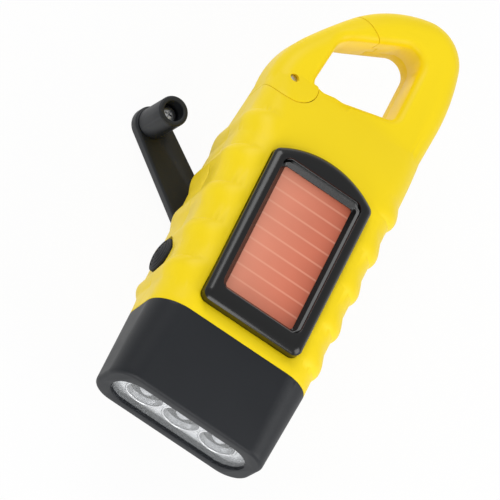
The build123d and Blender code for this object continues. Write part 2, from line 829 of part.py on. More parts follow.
def stator_core():
    """The iron cup round the coil."""
    cup = rod(rotor_spot, generator_radius, plate_top, generator_top - core_wall)
    room = rod(rotor_spot, generator_radius - core_wall, plate_top + core_wall, generator_top + 1)
    return cup.cut(room, rod(rotor_spot, axle_boss + 0.6, plate_top - 1, plate_top + 2))


def stator_coil():
    """The winding, as one smooth ring."""
    z0 = plate_top + core_wall
    z1 = generator_top - core_wall - 0.05
    ring = rod(rotor_spot, generator_radius - core_wall - 0.05, z0, z1)
    return ring - rod(rotor_spot, magnet_radius + air_gap, z0 - 1, z1 + 1)


def generator_cap():
    """The lid of the iron cup, with the upper bearing."""
    lid = rod(rotor_spot, generator_radius, generator_top - core_wall, generator_top)
    return lid - rod(rotor_spot, axle_radius + running, generator_top - 3, generator_top + 1)


# ---------------------------------------------------------------- crank
def along_arm(shape):
    """Turn a shape made along +X from the hub so that it lies along the arm."""
    return Pos(0, crank_y, 0) * Rot(0, 0, arm_turn) * shape


def crank_hub():
    """The round hub with its slot for the folding arm and its stub shaft."""
    disc_top = -case_back - hub_gap
    body = rod((0, 0), hub_radius, arm_bottom, disc_top)
    body = fillet(flat_edges(body, arm_bottom) + flat_edges(body, disc_top), 0.8)
    body += rod((0, 0), crank_shaft_radius, disc_top - 0.5, gear_a1)
    half = arm_root_width / 2 + 0.2
    slot = block(-hub_radius - 1, hub_radius + 1, -half, half, arm_bottom - 1, arm_top + 0.1)
    pin_hole = Pos(0, 0, arm_mid) * Rot(90, 0, 0) * Cylinder(hinge_pin_radius + 0.01, hinge_pin_length)
    screw_hole = rod((0, 0), knob_screw_radius + 0.02, arm_top + 0.8, gear_a1 + 1)
    return along_arm(body.cut(slot, pin_hole, screw_hole))


def hub_bush():
    """The bush in the back of the case."""
    return rod(hub_spot, bush_radius, -case_back, gear_a0 - 0.1) - rod(
        hub_spot, crank_shaft_radius + running, -deep, 0
    )


def hub_screw():
    """The screw that holds the drive gear on the crank's shaft."""
    return rod(hub_spot, knob_screw_radius, arm_top + 1, gear_a1) + rod(hub_spot, 3.5, gear_a1, gear_a1 + 1.4)


def hinge_pin():
    """The pin that the arm folds on."""
    return along_arm(Pos(0, 0, arm_mid) * Rot(90, 0, 0) * Cylinder(hinge_pin_radius, hinge_pin_length - 0.2))


def crank_arm():
    """The flat tapering arm with a round end and a round knuckle on the hinge pin."""
    root = arm_root_width / 2
    tip = arm_tip_width / 2
    left = Line((0, root), (arm_reach, tip))
    end = ThreePointArc((arm_reach, tip), (arm_reach + tip, 0), (arm_reach, -tip))
    right = Line((arm_reach, -tip), (0, -root))
    foot = Line((0, -root), (0, root))
    arm = slab(make_face([left, end, right, foot]), arm_bottom, arm_top)
    long_edges = [e for z in (arm_bottom, arm_top) for e in flat_edges(arm, z) if e.center().X > 1]
    arm = fillet(long_edges, 0.7)
    knuckle = Pos(0, 0, arm_mid) * Rot(90, 0, 0) * Cylinder(arm_thickness / 2, arm_root_width)
    pin_hole = Pos(0, 0, arm_mid) * Rot(90, 0, 0) * Cylinder(hinge_pin_radius + running, arm_root_width + 2)
    screw_hole = rod((arm_reach, 0), knob_screw_radius + 0.01, arm_bottom + 0.4, arm_top + 1)
    return along_arm((arm + knuckle).cut(pin_hole, screw_hole))


def knob():
    """The hollow grip that turns on its screw."""
    z0 = arm_top + 0.1
    grip = rod(knob_spot, knob_radius, z0, z0 + knob_length)
    grip = fillet(flat_edges(grip, z0) + flat_edges(grip, z0 + knob_length), 0.5)
    bore = rod(knob_spot, knob_bore, z0 + knob_floor, deep)
    return grip.cut(bore, rod(knob_spot, knob_screw_radius + running, z0 - 1, z0 + knob_floor + 1))


def knob_screw():
    """The screw at the bottom of the knob's bore."""
    z0 = arm_top + 0.1 + knob_floor + 0.05
    shank = rod(knob_spot, knob_screw_radius, arm_bottom + 0.5, z0)
    return shank + rod(knob_spot, knob_screw_head, z0, z0 + 1.3)


# ---------------------------------------------------------------- switch and electrics
def switch_button():
    """The rubber push button with a domed face and a guided stem."""
    rim = button_proud - button_dome
    crown_radius = (button_radius**2 + button_dome**2) / (2 * button_dome)
    half_turn = math.asin(button_radius / crown_radius) / 2
    crown_middle = (
        crown_radius * math.sin(half_turn),
        button_proud - crown_radius * (1 - math.cos(half_turn)),
    )
    crown = ThreePointArc((button_radius, rim), crown_middle, (0, button_proud))
    outline = [
        Line((0, button_proud), (0, -stem_length)),
        Line((0, -stem_length), (stem_radius, -stem_length)),
        Line((stem_radius, -stem_length), (stem_radius, 0)),
        Line((stem_radius, 0), (button_radius, 0)),
        Line((button_radius, 0), (button_radius, rim)),
        crown,
    ]
    turned = revolve(Plane.XZ * make_face(outline), Axis.Z)
    return along_switch(turned, switch_land - seat)


def switch_body():
    """The push switch behind the button."""
    half = switch_size / 2
    x1 = switch_board_x
    x0 = x1 - switch_depth
    case = block(x0 + 0.4, x1, switch_y - half, switch_y + half, switch_z - half, switch_z + half)
    return case + along_switch(disc(1.7, 1), x0 + 1)


def switch_board():
    """The small board that carries the switch."""
    return block(switch_board_x, switch_board_x + board_thickness, switch_y - 5.5, switch_y + 4,
                 switch_board_z, switch_z + 4.5)


def charge_board():
    """The charging board behind the solar panel."""
    middle = (charge_board_bottom + charge_board_top) / 2
    outline = Pos(0, middle) * RectangleRounded(
        2 * charge_board_half_width, charge_board_top - charge_board_bottom, 1.5
    )
    board = slab(outline, charge_board_z, charge_board_z + board_thickness)
    return board.cut(*posts(charge_board_posts, small_screw + 0.2, 0, deep))


def board_parts():
    """A capacitor, a coil and a chip on the charging board."""
    y = (charge_board_bottom + charge_board_top) / 2
    z = charge_board_z
    capacitor = rod((9, y + 8), 3.2, z - 3, z)
    inductor = rod((9, y - 4), 2.6, z - 3, z)
    return [capacitor, inductor, block(-3, 3, y - 12, y - 8, z - 1.5, z)]


def board_screws():
    """Four small screws under the charging board."""
    z = charge_board_z
    top = z + board_thickness + 3.5
    return [rod(s, small_screw, z, top) + rod(s, small_head, z - 1.1, z) for s in charge_board_posts]


def battery_cells():
    """Three button cells in a row across the case."""
    cells = []
    for i in (-1, 0, 1):
        cell = Rot(0, 90, 0) * Cylinder(cell_radius, cell_length)
        cells.append(Pos(i * cell_length, battery_y, battery_z) * cell)
    return cells


def battery_contacts():
    """The spring plates at the ends of the row of cells."""
    half = 1.5 * cell_length
    plates = []
    for side in (-1, 1):
        x = side * (half + contact_thickness / 2)
        plates.append(
            block(x - contact_thickness / 2, x + contact_thickness / 2, battery_y - 4, battery_y + 4,
                  battery_z - 5, battery_z + 5)
        )
    return plates


def battery_holder():
    """The cradle under the cells, with end walls up to the ribs of the front shell."""
    half_y = cell_radius + holder_wall
    z0 = battery_z - cell_radius - holder_wall
    y0, y1 = battery_y - half_y, battery_y + half_y
    cradle = block(-holder_half_length, holder_half_length, y0, y1, z0, battery_z)
    inner_half = holder_half_length - holder_wall
    for side in (-1, 1):
        x0, x1 = sorted((side * inner_half, side * holder_half_length))
        cradle += block(x0, x1, battery_y - 5, battery_y + 5, battery_z - 1, holder_top)
    trough = Pos(0, battery_y, battery_z) * Rot(0, 90, 0) * Cylinder(cell_radius + seat, 2 * inner_half)
    return cradle.cut(trough)


def case_screws():
    """Four screws that close the case from the back."""
    return [pin_with_head(s, screw_radius, screw_seat, screw_reach, screw_head_radius, screw_head_height)
            for s in case_screw_spots]


# ---------------------------------------------------------------- write the parts
def build_all():
    """Every node by name."""
    front, back, gate = case_and_gate()
    return {
        "front_shell": front,
        "back_shell": back,
        "gate": gate,
        "gate_pin": gate_pin(),
        "gate_spring": gate_spring(),
        "head_bezel": head_bezel(),
        "lens": lens(),
        "reflector": reflector(),
        "leds": leds(),
        "led_board": led_board(),
        "solar_frame": solar_frame(),
        "solar_cell": solar_cell(),
        "crank_hub": crank_hub(),
        "hub_bush": hub_bush(),
        "hub_screw": hub_screw(),
        "hinge_pin": hinge_pin(),
        "crank_arm": crank_arm(),
        "knob": knob(),
        "knob_screw": knob_screw(),
        "drive_gear": drive_gear(),
        "gear_1": gear_1(),
        "gear_2": gear_2(),
        "gear_axles": axles(),
        "gearbox_plate": gearbox_plate(),
        "plate_screws": plate_screws(),
        "rotor": rotor(),
        "rotor_magnet": rotor_magnet(),
        "stator_core": stator_core(),
        "stator_coil": stator_coil(),
        "generator_cap": generator_cap(),
        "switch_button": switch_button(),
        "switch_body": switch_body(),
        "switch_board": switch_board(),
        "charge_board": charge_board(),
        "board_parts": board_parts(),
        "board_screws": board_screws(),
        "battery_cells": battery_cells(),
        "battery_contacts": battery_contacts(),
        "battery_holder": battery_holder(),
        "case_screws": case_screws(),
    }


def main():
    """Write one STEP file for each node."""
    os.makedirs("parts", exist_ok=True)
    for name, shape in build_all().items():
        if isinstance(shape, list):
            shape = Compound(children=[s if isinstance(s, Solid) else s.solid() for s in shape])
        export_step(shape, f"parts/{name}.step")


if __name__ == "__main__":
    main()
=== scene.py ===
"""Finished look of the hand crank flashlight: softened mouldings, lamp details, materials and a studio."""

import json
import math

import bpy
from mathutils import Matrix, Vector


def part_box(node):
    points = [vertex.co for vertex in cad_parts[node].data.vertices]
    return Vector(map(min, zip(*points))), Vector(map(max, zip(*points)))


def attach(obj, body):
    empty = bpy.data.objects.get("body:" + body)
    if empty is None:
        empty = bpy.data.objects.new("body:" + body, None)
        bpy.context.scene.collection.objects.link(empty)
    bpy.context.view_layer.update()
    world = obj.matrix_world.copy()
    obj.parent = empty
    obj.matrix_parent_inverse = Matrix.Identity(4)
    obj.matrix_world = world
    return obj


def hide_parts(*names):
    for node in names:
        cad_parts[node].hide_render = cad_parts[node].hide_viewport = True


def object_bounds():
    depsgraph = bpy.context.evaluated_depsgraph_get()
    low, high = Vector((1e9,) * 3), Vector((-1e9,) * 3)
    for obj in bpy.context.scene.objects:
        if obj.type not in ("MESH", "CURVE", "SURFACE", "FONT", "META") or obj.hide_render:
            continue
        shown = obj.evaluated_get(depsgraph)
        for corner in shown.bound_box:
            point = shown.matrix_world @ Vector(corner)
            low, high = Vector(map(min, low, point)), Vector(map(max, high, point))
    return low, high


bl_info = {
    "name": "Hand Crank Flashlight",
    "version": (1, 0, 0),
    "blender": (4, 5, 0),
    "location": "3D View > Sidebar > Flashlight",
    "description": "Finished pieces, materials and studio for a hand crank flashlight",
    "category": "Object",
}

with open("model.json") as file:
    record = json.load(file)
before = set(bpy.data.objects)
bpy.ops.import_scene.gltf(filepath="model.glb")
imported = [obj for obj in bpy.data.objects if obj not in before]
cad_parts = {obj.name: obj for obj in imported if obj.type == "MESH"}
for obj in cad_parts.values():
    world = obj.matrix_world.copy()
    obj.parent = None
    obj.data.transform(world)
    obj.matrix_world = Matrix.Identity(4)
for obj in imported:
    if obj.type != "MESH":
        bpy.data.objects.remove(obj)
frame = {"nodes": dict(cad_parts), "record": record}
cad_low, cad_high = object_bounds()
MM = 0.001
# below this angle in degrees, the faces on both sides of an edge shade as one surface
SMOOTH_ANGLE = 32


def linear(hex_colour):
    """An sRGB hex colour as linear red, green, blue and an alpha of 1."""
    channels = []
    for i in (1, 3, 5):
        value = int(hex_colour[i : i + 2], 16) / 255
        channels.append(value / 12.92 if value <= 0.04045 else ((value + 0.055) / 1.055) ** 2.4)
    return (*channels, 1.0)


# ---------------------------------------------------------------- what a user may change
class FlashlightSizes(bpy.types.PropertyGroup):
    """Sizes of the details that the frame leaves to this file."""

    moulded_edge: bpy.props.FloatProperty(
        name="Moulded edge",
        description="Softness of the case's sharp edges",
        default=0.14 * MM,
        unit="LENGTH",
    )
    head_edge: bpy.props.FloatProperty(
        name="Head edge",
        description="Softness of the lamp head's edges",
        default=0.22 * MM,
        unit="LENGTH",
    )
    cell_line_pitch: bpy.props.FloatProperty(
        name="Cell line pitch",
        description="Distance between the lines on the cell",
        default=4.0 * MM,
        unit="LENGTH",
    )
    cell_line_width: bpy.props.FloatProperty(
        name="Cell line width",
        description="Width of each line on the cell",
        default=0.46 * MM,
        unit="LENGTH",
    )
    grain: bpy.props.FloatProperty(
        name="Case grain",
        description="Size of the moulded grain on the case",
        default=0.45 * MM,
        unit="LENGTH",
    )
    lamp_forward: bpy.props.FloatProperty(
        name="Lamp forward",
        description="How far the lamp unit sits forward of the frame's",
        default=1.0 * MM,
        unit="LENGTH",
    )
    cup_ring: bpy.props.FloatProperty(
        name="Cup ring",
        description="Radius of the raised ring round each cup",
        default=5.3 * MM,
        unit="LENGTH",
    )
    camera_distance: bpy.props.FloatProperty(
        name="Camera distance",
        description="From the camera to the case",
        default=5.0,
        unit="LENGTH",
    )


class FlashlightColours(bpy.types.PropertyGroup):
    """Colours of the main finishes."""

    case: bpy.props.FloatVectorProperty(
        name="Case",
        description="Moulded case",
        subtype="COLOR",
        size=4,
        default=linear("#FBDC12"),
    )
    head: bpy.props.FloatVectorProperty(
        name="Lamp head",
        description="Lamp head and crank",
        subtype="COLOR",
        size=4,
        default=linear("#10141A"),
    )
    surround: bpy.props.FloatVectorProperty(
        name="Panel surround",
        description="Glossy frame",
        subtype="COLOR",
        size=4,
        default=linear("#040506"),
    )
    cell: bpy.props.FloatVectorProperty(
        name="Solar cell",
        description="Film at the right",
        subtype="COLOR",
        size=4,
        default=linear("#CD694D"),
    )
    # painted light: a lighter copy of the cell's film colour for its lit left side
    cell_painted_light: bpy.props.FloatVectorProperty(
        name="Pale cell",
        description="Film at the left",
        subtype="COLOR",
        size=4,
        default=linear("#E8957A"),
    )
    cell_line: bpy.props.FloatVectorProperty(
        name="Cell lines",
        description="Lines across the film",
        subtype="COLOR",
        size=4,
        default=linear("#F2AE93"),
    )
    floor: bpy.props.FloatVectorProperty(
        name="Floor",
        description="Floor under the flashlight",
        subtype="COLOR",
        size=4,
        default=linear("#F4F4F4"),
    )


def sizes():
    """The scene's sizes."""
    return bpy.context.scene.flashlight_sizes


def colours():
    """The scene's colours."""
    return bpy.context.scene.flashlight_colours


# ---------------------------------------------------------------- nodes and materials
def add_node(tree, kind, inputs=None, **settings):
    """Adds one node; an input may be a value or another node's output."""
    made = tree.nodes.new(kind)
    for key, value in settings.items():
        setattr(made, key, value)
    for key, value in (inputs or {}).items():
        if isinstance(value, bpy.types.NodeSocket):
            tree.links.new(value, made.inputs[key])
        else:
            made.inputs[key].default_value = value
    return made


def begin_material(name):
    """An empty node material and its object coordinates."""
    material = bpy.data.materials.new(name)
    material.use_nodes = True
    tree = material.node_tree
    tree.nodes.clear()
    place = add_node(tree, "ShaderNodeTexCoord").outputs["Object"]
    return material, tree, place


def end_material(tree, **inputs):
    """The surface shader and the output."""
    shader = add_node(tree, "ShaderNodeBsdfPrincipled", {k.replace("_", " "): v for k, v in inputs.items()})
    add_node(tree, "ShaderNodeOutputMaterial", {"Surface": shader.outputs[0]})


def mixed(tree, share, first, second):
    """One colour turning into another by a share from 0 to 1."""
    mix = add_node(tree, "ShaderNodeMix", {0: share, 6: first, 7: second}, data_type="RGBA")
    return mix.outputs[2]


def shaded(tree, place, colour, depth, patch):
    """A colour that drifts a little over a moulding: a darker and a lighter tone in soft patches."""
    drift = add_node(tree, "ShaderNodeTexNoise", {"Vector": place, "Scale": 1 / patch, "Detail": 2.0})
    dark = (*(c * (1 - depth) for c in colour[:3]), 1.0)
    light = (*(min(1.0, c * (1 + depth)) for c in colour[:3]), 1.0)
    return mixed(tree, drift.outputs["Fac"], dark, light)


def worn_roughness(tree, place, roughness, spread, patch):
    """Roughness that varies a little, as handled plastic does."""
    rub = add_node(tree, "ShaderNodeTexNoise", {"Vector": place, "Scale": 1 / patch, "Detail": 4.0})
    spread_node = add_node(
        tree,
        "ShaderNodeMapRange",
        {"Value": rub.outputs["Fac"], "To Min": roughness - spread, "To Max": roughness + spread},
    )
    return spread_node.outputs["Result"]


def grain_bump(tree, place, size, height):
    """Fine spark-eroded grain of a steel mould."""
    grain = add_node(tree, "ShaderNodeTexNoise", {"Vector": place, "Scale": 1 / size, "Detail": 3.0})
    bump = add_node(
        tree,
        "ShaderNodeBump",
        {"Height": grain.outputs["Fac"], "Distance": height, "Strength": 0.6},
    )
    return bump.outputs["Normal"]


def moulded_plastic(name, colour, roughness, grain, height, ior, drift, gloss=0.5):
    """An injection-moulded plastic: even colour, fine mould grain, gloss that varies with handling.

    Grain and height are the size and depth of the mould's grain, drift is how far the colour wanders.
    """
    material, tree, place = begin_material(name)
    end_material(
        tree,
        Base_Color=shaded(tree, place, colour, depth=drift, patch=24 * MM),
        Roughness=worn_roughness(tree, place, roughness, spread=roughness * 0.16, patch=7 * MM),
        IOR=ior,
        Specular_IOR_Level=gloss,
        Normal=grain_bump(tree, place, grain, height),
    )
    return material


def worked_metal(name, colour, roughness, streak):
    """A metal with fine streaks from its making; streak is their length in metres."""
    material, tree, place = begin_material(name)
    long_way = 1 / streak
    short_way = 12 / streak
    stretch = add_node(
        tree, "ShaderNodeMapping", {"Vector": place, "Scale": (long_way, long_way, short_way)}
    )
    lines = add_node(tree, "ShaderNodeTexNoise", {"Vector": stretch.outputs[0], "Scale": 1.0, "Detail": 3.0})
    gloss = add_node(
        tree,
        "ShaderNodeMapRange",
        {"Value": lines.outputs["Fac"], "To Min": roughness * 0.7, "To Max": roughness * 1.35},
    )
    bump = add_node(
        tree, "ShaderNodeBump", {"Height": lines.outputs["Fac"], "Distance": 0.01 * MM, "Strength": 0.3}
    )
    end_material(
        tree,
        Base_Color=shaded(tree, place, colour, depth=0.06, patch=6 * MM),
        Metallic=1.0,
        Roughness=gloss.outputs["Result"],
        Normal=bump.outputs["Normal"],
    )
    return material


def solar_film():
    """Thin-film cell behind clear resin: copper-red film with painted light that makes it paler towards the
    left, soft pale lines across it, a satin face.
    """
    material, tree, place = begin_material("thin_film_solar_cell")
    split = add_node(tree, "ShaderNodeSeparateXYZ", {"Vector": place})
    low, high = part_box("solar_cell")
    pitch = sizes().cell_line_pitch
    width = sizes().cell_line_width
    # one line stands a little above the cell's middle, and the rest count from it
    first_line = (low.y + high.y) / 2 + 0.55 * MM
    # how much of the line's colour shows through the resin
    line_cover = 0.5
    along = add_node(
        tree, "ShaderNodeMath", {0: split.outputs["Y"], 1: first_line}, operation="SUBTRACT"
    )
    wrapped = add_node(
        tree, "ShaderNodeMath", {0: along.outputs[0], 1: pitch / 2, 2: -pitch / 2}, operation="WRAP"
    )
    distance = add_node(tree, "ShaderNodeMath", {0: wrapped.outputs[0]}, operation="ABSOLUTE")
    line = add_node(
        tree,
        "ShaderNodeMapRange",
        {
            "Value": distance.outputs[0],
            "From Min": width * 0.35,
            "From Max": width * 0.75,
            "To Min": line_cover,
            "To Max": 0.0,
        },
    )
    # painted light: the film is painted paler towards the left, as if lit from that side, and keeps its own
    # darker colour at the right
    across = add_node(
        tree, "ShaderNodeMapRange", {"Value": split.outputs["X"], "From Min": low.x, "From Max": high.x}
    )
    film = mixed(
        tree,
        across.outputs["Result"],
        shaded(tree, place, colours().cell_painted_light, depth=0.07, patch=9 * MM),
        shaded(tree, place, colours().cell, depth=0.07, patch=9 * MM),
    )
    lined = mixed(tree, line.outputs["Result"], film, colours().cell_line)
    bump = add_node(
        tree, "ShaderNodeBump", {"Height": line.outputs["Result"], "Distance": 0.03 * MM, "Strength": 0.4}
    )
    end_material(
        tree,
        Base_Color=lined,
        Roughness=worn_roughness(tree, place, 0.34, spread=0.05, patch=5 * MM),
        IOR=1.5,
        Normal=bump.outputs["Normal"],
    )
    return material


def clear_plastic(name, colour, roughness, ior, cover, through):
    """A clear moulding: polished, with the faint flow waves of its mould.

    Cover is how much of the piece's own surface shows, through is how much of that bends light as glass.
    """
    material, tree, place = begin_material(name)
    waves = add_node(tree, "ShaderNodeTexNoise", {"Vector": place, "Scale": 1 / (6 * MM), "Detail": 1.0})
    bump = add_node(
        tree, "ShaderNodeBump", {"Height": waves.outputs["Fac"], "Distance": 0.05 * MM, "Strength": 0.25}
    )
    end_material(
        tree,
        Base_Color=shaded(tree, place, colour, depth=0.02, patch=8 * MM),
        Roughness=worn_roughness(tree, place, roughness, spread=roughness * 0.5, patch=3 * MM),
        IOR=ior,
        Alpha=cover,
        Transmission_Weight=through,
        Normal=bump.outputs["Normal"],
    )
    return material


def plated_plastic():
    """Vacuum-plated plastic: a bright satin aluminium film with a slight orange peel."""
    material, tree, place = begin_material("vacuum_plated_reflector")
    peel = add_node(tree, "ShaderNodeTexNoise", {"Vector": place, "Scale": 1 / (0.9 * MM), "Detail": 2.0})
    bump = add_node(
        tree, "ShaderNodeBump", {"Height": peel.outputs["Fac"], "Distance": 0.04 * MM, "Strength": 0.5}
    )
    end_material(
        tree,
        Base_Color=shaded(tree, place, linear("#EDEEF0"), depth=0.04, patch=4 * MM),
        Metallic=0.7,
        Roughness=worn_roughness(tree, place, 0.26, spread=0.06, patch=3 * MM),
        Normal=bump.outputs["Normal"],
    )
    return material


def circuit_board():
    """Glass-epoxy board: green solder mask over copper tracks that show as a paler maze."""
    material, tree, place = begin_material("green_solder_mask")
    tracks = add_node(
        tree,
        "ShaderNodeTexBrick",
        {
            "Vector": place,
            "Scale": 1.0,
            "Color1": linear("#1C6B3A"),
            "Color2": linear("#175C33"),
            "Mortar": linear("#3E9A5E"),
            "Brick Width": 5.2 * MM,
            "Row Height": 1.9 * MM,
            "Mortar Size": 0.22 * MM,
        },
    )
    bump = add_node(
        tree, "ShaderNodeBump", {"Height": tracks.outputs["Fac"], "Distance": 0.03 * MM, "Strength": 0.5}
    )
    end_material(
        tree,
        Base_Color=tracks.outputs["Color"],
        Roughness=worn_roughness(tree, place, 0.3, spread=0.05, patch=4 * MM),
        IOR=1.55,
        Normal=bump.outputs["Normal"],
    )
    return material


def wound_wire():
    """Enamelled copper wire wound round the generator: rings along Z."""
    material, tree, place = begin_material("enamelled_copper_winding")
    # a ring about every 2.2 mm, much coarser than the wire, so that it shows
    rings = add_node(
        tree,
        "ShaderNodeTexWave",
        {"Vector": place, "Scale": 1 / (7 * MM), "Distortion": 0.6, "Detail": 1.0},
        bands_direction="Z",
    )
    bump = add_node(
        tree, "ShaderNodeBump", {"Height": rings.outputs["Fac"], "Distance": 0.15 * MM, "Strength": 0.9}
    )
    end_material(
        tree,
        Base_Color=shaded(tree, place, linear("#B4602E"), depth=0.12, patch=3 * MM),
        Metallic=1.0,
        Roughness=worn_roughness(tree, place, 0.3, spread=0.06, patch=3 * MM),
        Normal=bump.outputs["Normal"],
    )
    return material


def make_materials():
    """Every material by the record's slot."""
    return {
        # satin ABS: saturated colour, broad soft highlights
        "yellow_case": moulded_plastic(
            "satin_yellow_abs",
            colours().case,
            0.42,
            sizes().grain,
            0.012 * MM,
            ior=1.54,
            drift=0.03,
            gloss=0.22,
        ),
        # the same ABS in charcoal from a coarser mould: nearly matte
        "black_case": moulded_plastic(
            "textured_charcoal_abs", colours().head, 0.5, 0.5 * MM, 0.03 * MM, ior=1.54, drift=0.1, gloss=0.4
        ),
        # polished black ABS: clear reflections of the softboxes
        "gloss_black": moulded_plastic(
            "polished_black_abs", colours().surround, 0.24, 1.6 * MM, 0.01 * MM, ior=1.54, drift=0.1
        ),
        # silicone rubber: matte, slightly dusty
        "soft_black": moulded_plastic(
            "black_silicone_rubber", linear("#1F2024"), 0.62, 0.35 * MM, 0.03 * MM, ior=1.43, drift=0.15
        ),
        # acetal gears: milky, waxy gloss
        "gear_plastic": moulded_plastic(
            "white_acetal", linear("#E9E6DC"), 0.35, 0.6 * MM, 0.01 * MM, ior=1.48, drift=0.03
        ),
        # glass-filled nylon: dull black with faint fibre marks
        "plate_plastic": moulded_plastic(
            "black_nylon", linear("#222326"), 0.55, 0.4 * MM, 0.03 * MM, ior=1.53, drift=0.12
        ),
        # moulded epoxy of small components: dull black with a fine pitted skin
        "component_black": moulded_plastic(
            "component_epoxy", linear("#17181A"), 0.45, 0.3 * MM, 0.02 * MM, ior=1.55, drift=0.1
        ),
        # shrink sleeve of the cells: thin glossy film, slightly rippled
        "cell_sleeve": moulded_plastic(
            "green_shrink_sleeve", linear("#2F8052"), 0.28, 1.2 * MM, 0.02 * MM, ior=1.52, drift=0.08
        ),
        # sintered ferrite: dark grey ceramic, dull
        "ferrite": moulded_plastic(
            "sintered_ferrite", linear("#3A3836"), 0.6, 0.3 * MM, 0.03 * MM, ior=1.8, drift=0.12
        ),
        # nickel plate over turned steel: bright, with the lathe's fine lines
        "steel": worked_metal("nickel_plated_steel", linear("#D6D7D9"), 0.3, streak=1.5 * MM),
        # zinc plate over pressed iron: greyer and duller, with longer marks
        "iron": worked_metal("zinc_plated_iron", linear("#A9ABAD"), 0.38, streak=2.5 * MM),
        # oil-filled sintered bronze: warm and dull, with short marks
        "bronze": worked_metal("sintered_bronze", linear("#B88A4A"), 0.42, streak=0.8 * MM),
        "plated": plated_plastic(),
        # polycarbonate plate: only its own sheen shows, and light passes to the reflector behind
        "clear": clear_plastic("clear_polycarbonate", linear("#F7FAFC"), 0.03, 1.58, cover=0.14, through=0.0),
        # epoxy of the lamps: clear with a milky core
        "led_resin": clear_plastic("clear_lamp_epoxy", linear("#F4F6FA"), 0.06, 1.52, cover=1.0, through=0.4),
        "circuit_board": circuit_board(),
        "copper_wire": wound_wire(),
        "solar_film": solar_film(),
    }


materials = {}
node_slot = {s["node"]: s["material_slot"] for s in frame["record"]["subparts"]}
node_body = {n: body for body, nodes in frame["record"]["behaviour"]["bodies"].items() for n in nodes}


# ---------------------------------------------------------------- modelling helpers
def select_only(piece):
    """Selects one object and makes it active."""
    if bpy.context.object and bpy.context.object.mode != "OBJECT":
        bpy.ops.object.mode_set(mode="OBJECT")
    bpy.ops.object.select_all(action="DESELECT")
    piece.select_set(True)
    bpy.context.view_layer.objects.active = piece


def dress(piece, slot, body, *nodes):
    """Gives a finished piece its material and body, and hides the frame nodes that it stands for."""
    piece.data.materials.clear()
    piece.data.materials.append(materials[slot])
    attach(piece, body)
    if nodes:
        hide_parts(*nodes)
    return piece


def shade_smooth(piece, angle=SMOOTH_ANGLE):
    """Shades a piece smooth except across edges sharper than an angle in degrees."""
    select_only(piece)
    bpy.ops.object.shade_smooth_by_angle(angle=math.radians(angle))


def soften_edges(piece, width):
    """Rounds the sharp edges with a bevel and shades the rest smooth."""
    select_only(piece)
    bevel = piece.modifiers.new("edge", "BEVEL")
    bevel.width = width
    bevel.segments = 2
    bevel.limit_method = "ANGLE"
    bevel.angle_limit = math.radians(SMOOTH_ANGLE)
    bevel.use_clamp_overlap = True
    bpy.ops.object.modifier_apply(modifier=bevel.name)
    shade_smooth(piece)


def softened_copy(node, name, width):
    """A merged copy of a frame node with soft edges."""
    merge_distance = 0.002 * MM
    flat_angle = math.radians(0.1)
    piece = bpy.data.objects.new(name, frame["nodes"][node].data.copy())
    bpy.context.scene.collection.objects.link(piece)
    select_only(piece)
    bpy.ops.object.mode_set(mode="EDIT")
    bpy.ops.mesh.select_all(action="SELECT")
    bpy.ops.mesh.remove_doubles(threshold=merge_distance)
    bpy.ops.mesh.dissolve_limited(angle_limit=flat_angle)
    bpy.ops.object.mode_set(mode="OBJECT")
    soften_edges(piece, width)
    return dress(piece, node_slot[node], node_body[node], node)


def turned(name, rings, centre):
    """A round piece made as on a lathe.

    A circle is extruded and scaled along +Z through rings of (radius, height).
    """
    radius, height = rings[0]
    bpy.ops.object.select_all(action="DESELECT")
    bpy.ops.mesh.primitive_circle_add(
        vertices=48,
        radius=radius,
        fill_type="NGON",
        location=(centre[0], centre[1], centre[2] + height),
    )
    piece = bpy.context.object
    piece.name = name
    bpy.ops.object.mode_set(mode="EDIT")
    bpy.ops.mesh.select_all(action="SELECT")
    for next_radius, next_height in rings[1:]:
        bpy.ops.mesh.extrude_region_move(TRANSFORM_OT_translate={"value": (0, 0, next_height - height)})
        scale = next_radius / radius
        bpy.ops.transform.resize(
            value=(scale, scale, 1), center_override=(centre[0], centre[1], centre[2] + next_height)
        )
        radius, height = next_radius, next_height
    bpy.ops.mesh.select_all(action="SELECT")
    bpy.ops.mesh.normals_make_consistent(inside=False)
    bpy.ops.object.mode_set(mode="OBJECT")
    place_in_mesh(piece)
    return piece


def place_in_mesh(piece):
    """Moves an object's place into its mesh, so that the object sits at the origin."""
    select_only(piece)
    bpy.ops.object.transform_apply(location=True, rotation=True, scale=True)


def move_mesh(piece, matrix):
    """Moves and turns a finished mesh with its object left at the origin."""
    piece.data.transform(matrix)
    piece.data.update()


def cut(piece, tool):
    """Cuts a tool's shape out of a piece and removes the tool."""
    select_only(piece)
    boolean = piece.modifiers.new("cut", "BOOLEAN")
    boolean.operation = "DIFFERENCE"
    boolean.object = tool
    bpy.ops.object.modifier_apply(modifier=boolean.name)
    bpy.data.objects.remove(tool)


def cross_tools(centre, width, length, depth):
    """The two tapered bars of the cross that a driver fits in, open towards +Z."""
    taper = 0.45
    tools = []
    for x, y in ((length, width), (width, length)):
        bpy.ops.object.select_all(action="DESELECT")
        bpy.ops.mesh.primitive_cube_add(size=1, location=centre)
        tool = bpy.context.object
        tool.scale = (x, y, depth * 2)
        place_in_mesh(tool)
        for vertex in tool.data.vertices:
            if vertex.co.z < centre[2]:
                vertex.co.x = centre[0] + (vertex.co.x - centre[0]) * taper
                vertex.co.y = centre[1] + (vertex.co.y - centre[1]) * taper
        tools.append(tool)
    return tools


